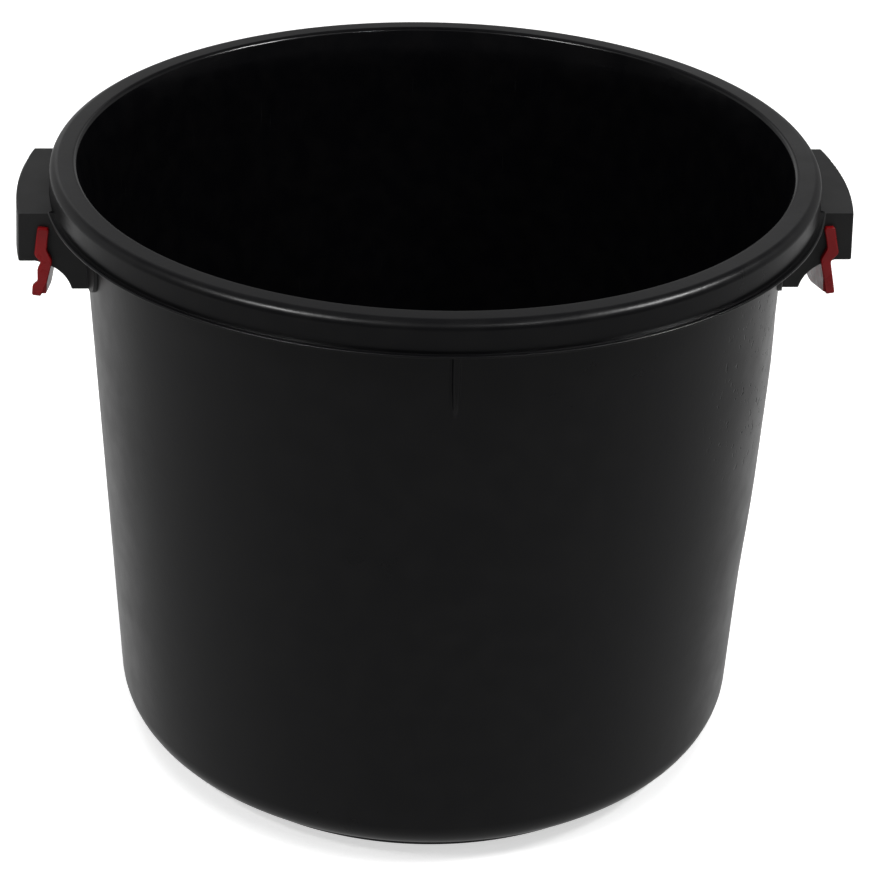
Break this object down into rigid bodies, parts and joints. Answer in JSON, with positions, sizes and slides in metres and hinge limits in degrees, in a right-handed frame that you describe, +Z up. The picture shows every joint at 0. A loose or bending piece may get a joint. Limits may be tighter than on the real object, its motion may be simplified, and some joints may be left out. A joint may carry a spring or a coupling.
{
  "type": "mortar mixing tub",
  "caption": "Round black plastic mixing tub with an inverted-U rim, side handles under the lip and red lock levers hinged beneath them.",
  "frame": {"origin": "centre of the foot ring's underside, on the ground", "axes": "+Z up the tub's axis, +X through the right handle, +Y away from the side seen in front"},
  "size_m": [0.5798, 0.5386, 0.443],
  "materials": {
    "shell_plastic": "black moulded polyethylene, satin, with light scuffs",
    "handle_plastic": "black moulded plastic, fine matt grain",
    "lever_plastic": "deep red moulded plastic, semi-gloss",
    "pin_steel": "plain drawn steel rod",
    "screw_steel": "zinc-plated steel"
  },
  "bodies": {
    "tub": {"tub_shell": "shell_plastic", "left_handle": "handle_plastic", "right_handle": "handle_plastic", "handle_screws": "screw_steel"},
    "left_lever": {"left_lock_lever": "lever_plastic", "left_hinge_pins": "pin_steel"},
    "right_lever": {"right_lock_lever": "lever_plastic", "right_hinge_pins": "pin_steel"}
  },
  "joints": [
    {"name": "left_lever_pivot", "type": "hinge", "parent": "tub", "child": "left_lever", "pos_m": [-0.2674, 0, 0.404], "axis": [0, 1, 0], "range_deg": [0, 20]},
    {"name": "right_lever_pivot", "type": "hinge", "parent": "tub", "child": "right_lever", "pos_m": [0.2674, 0, 0.404], "axis": [0, -1, 0], "range_deg": [0, 20]}
  ]
}
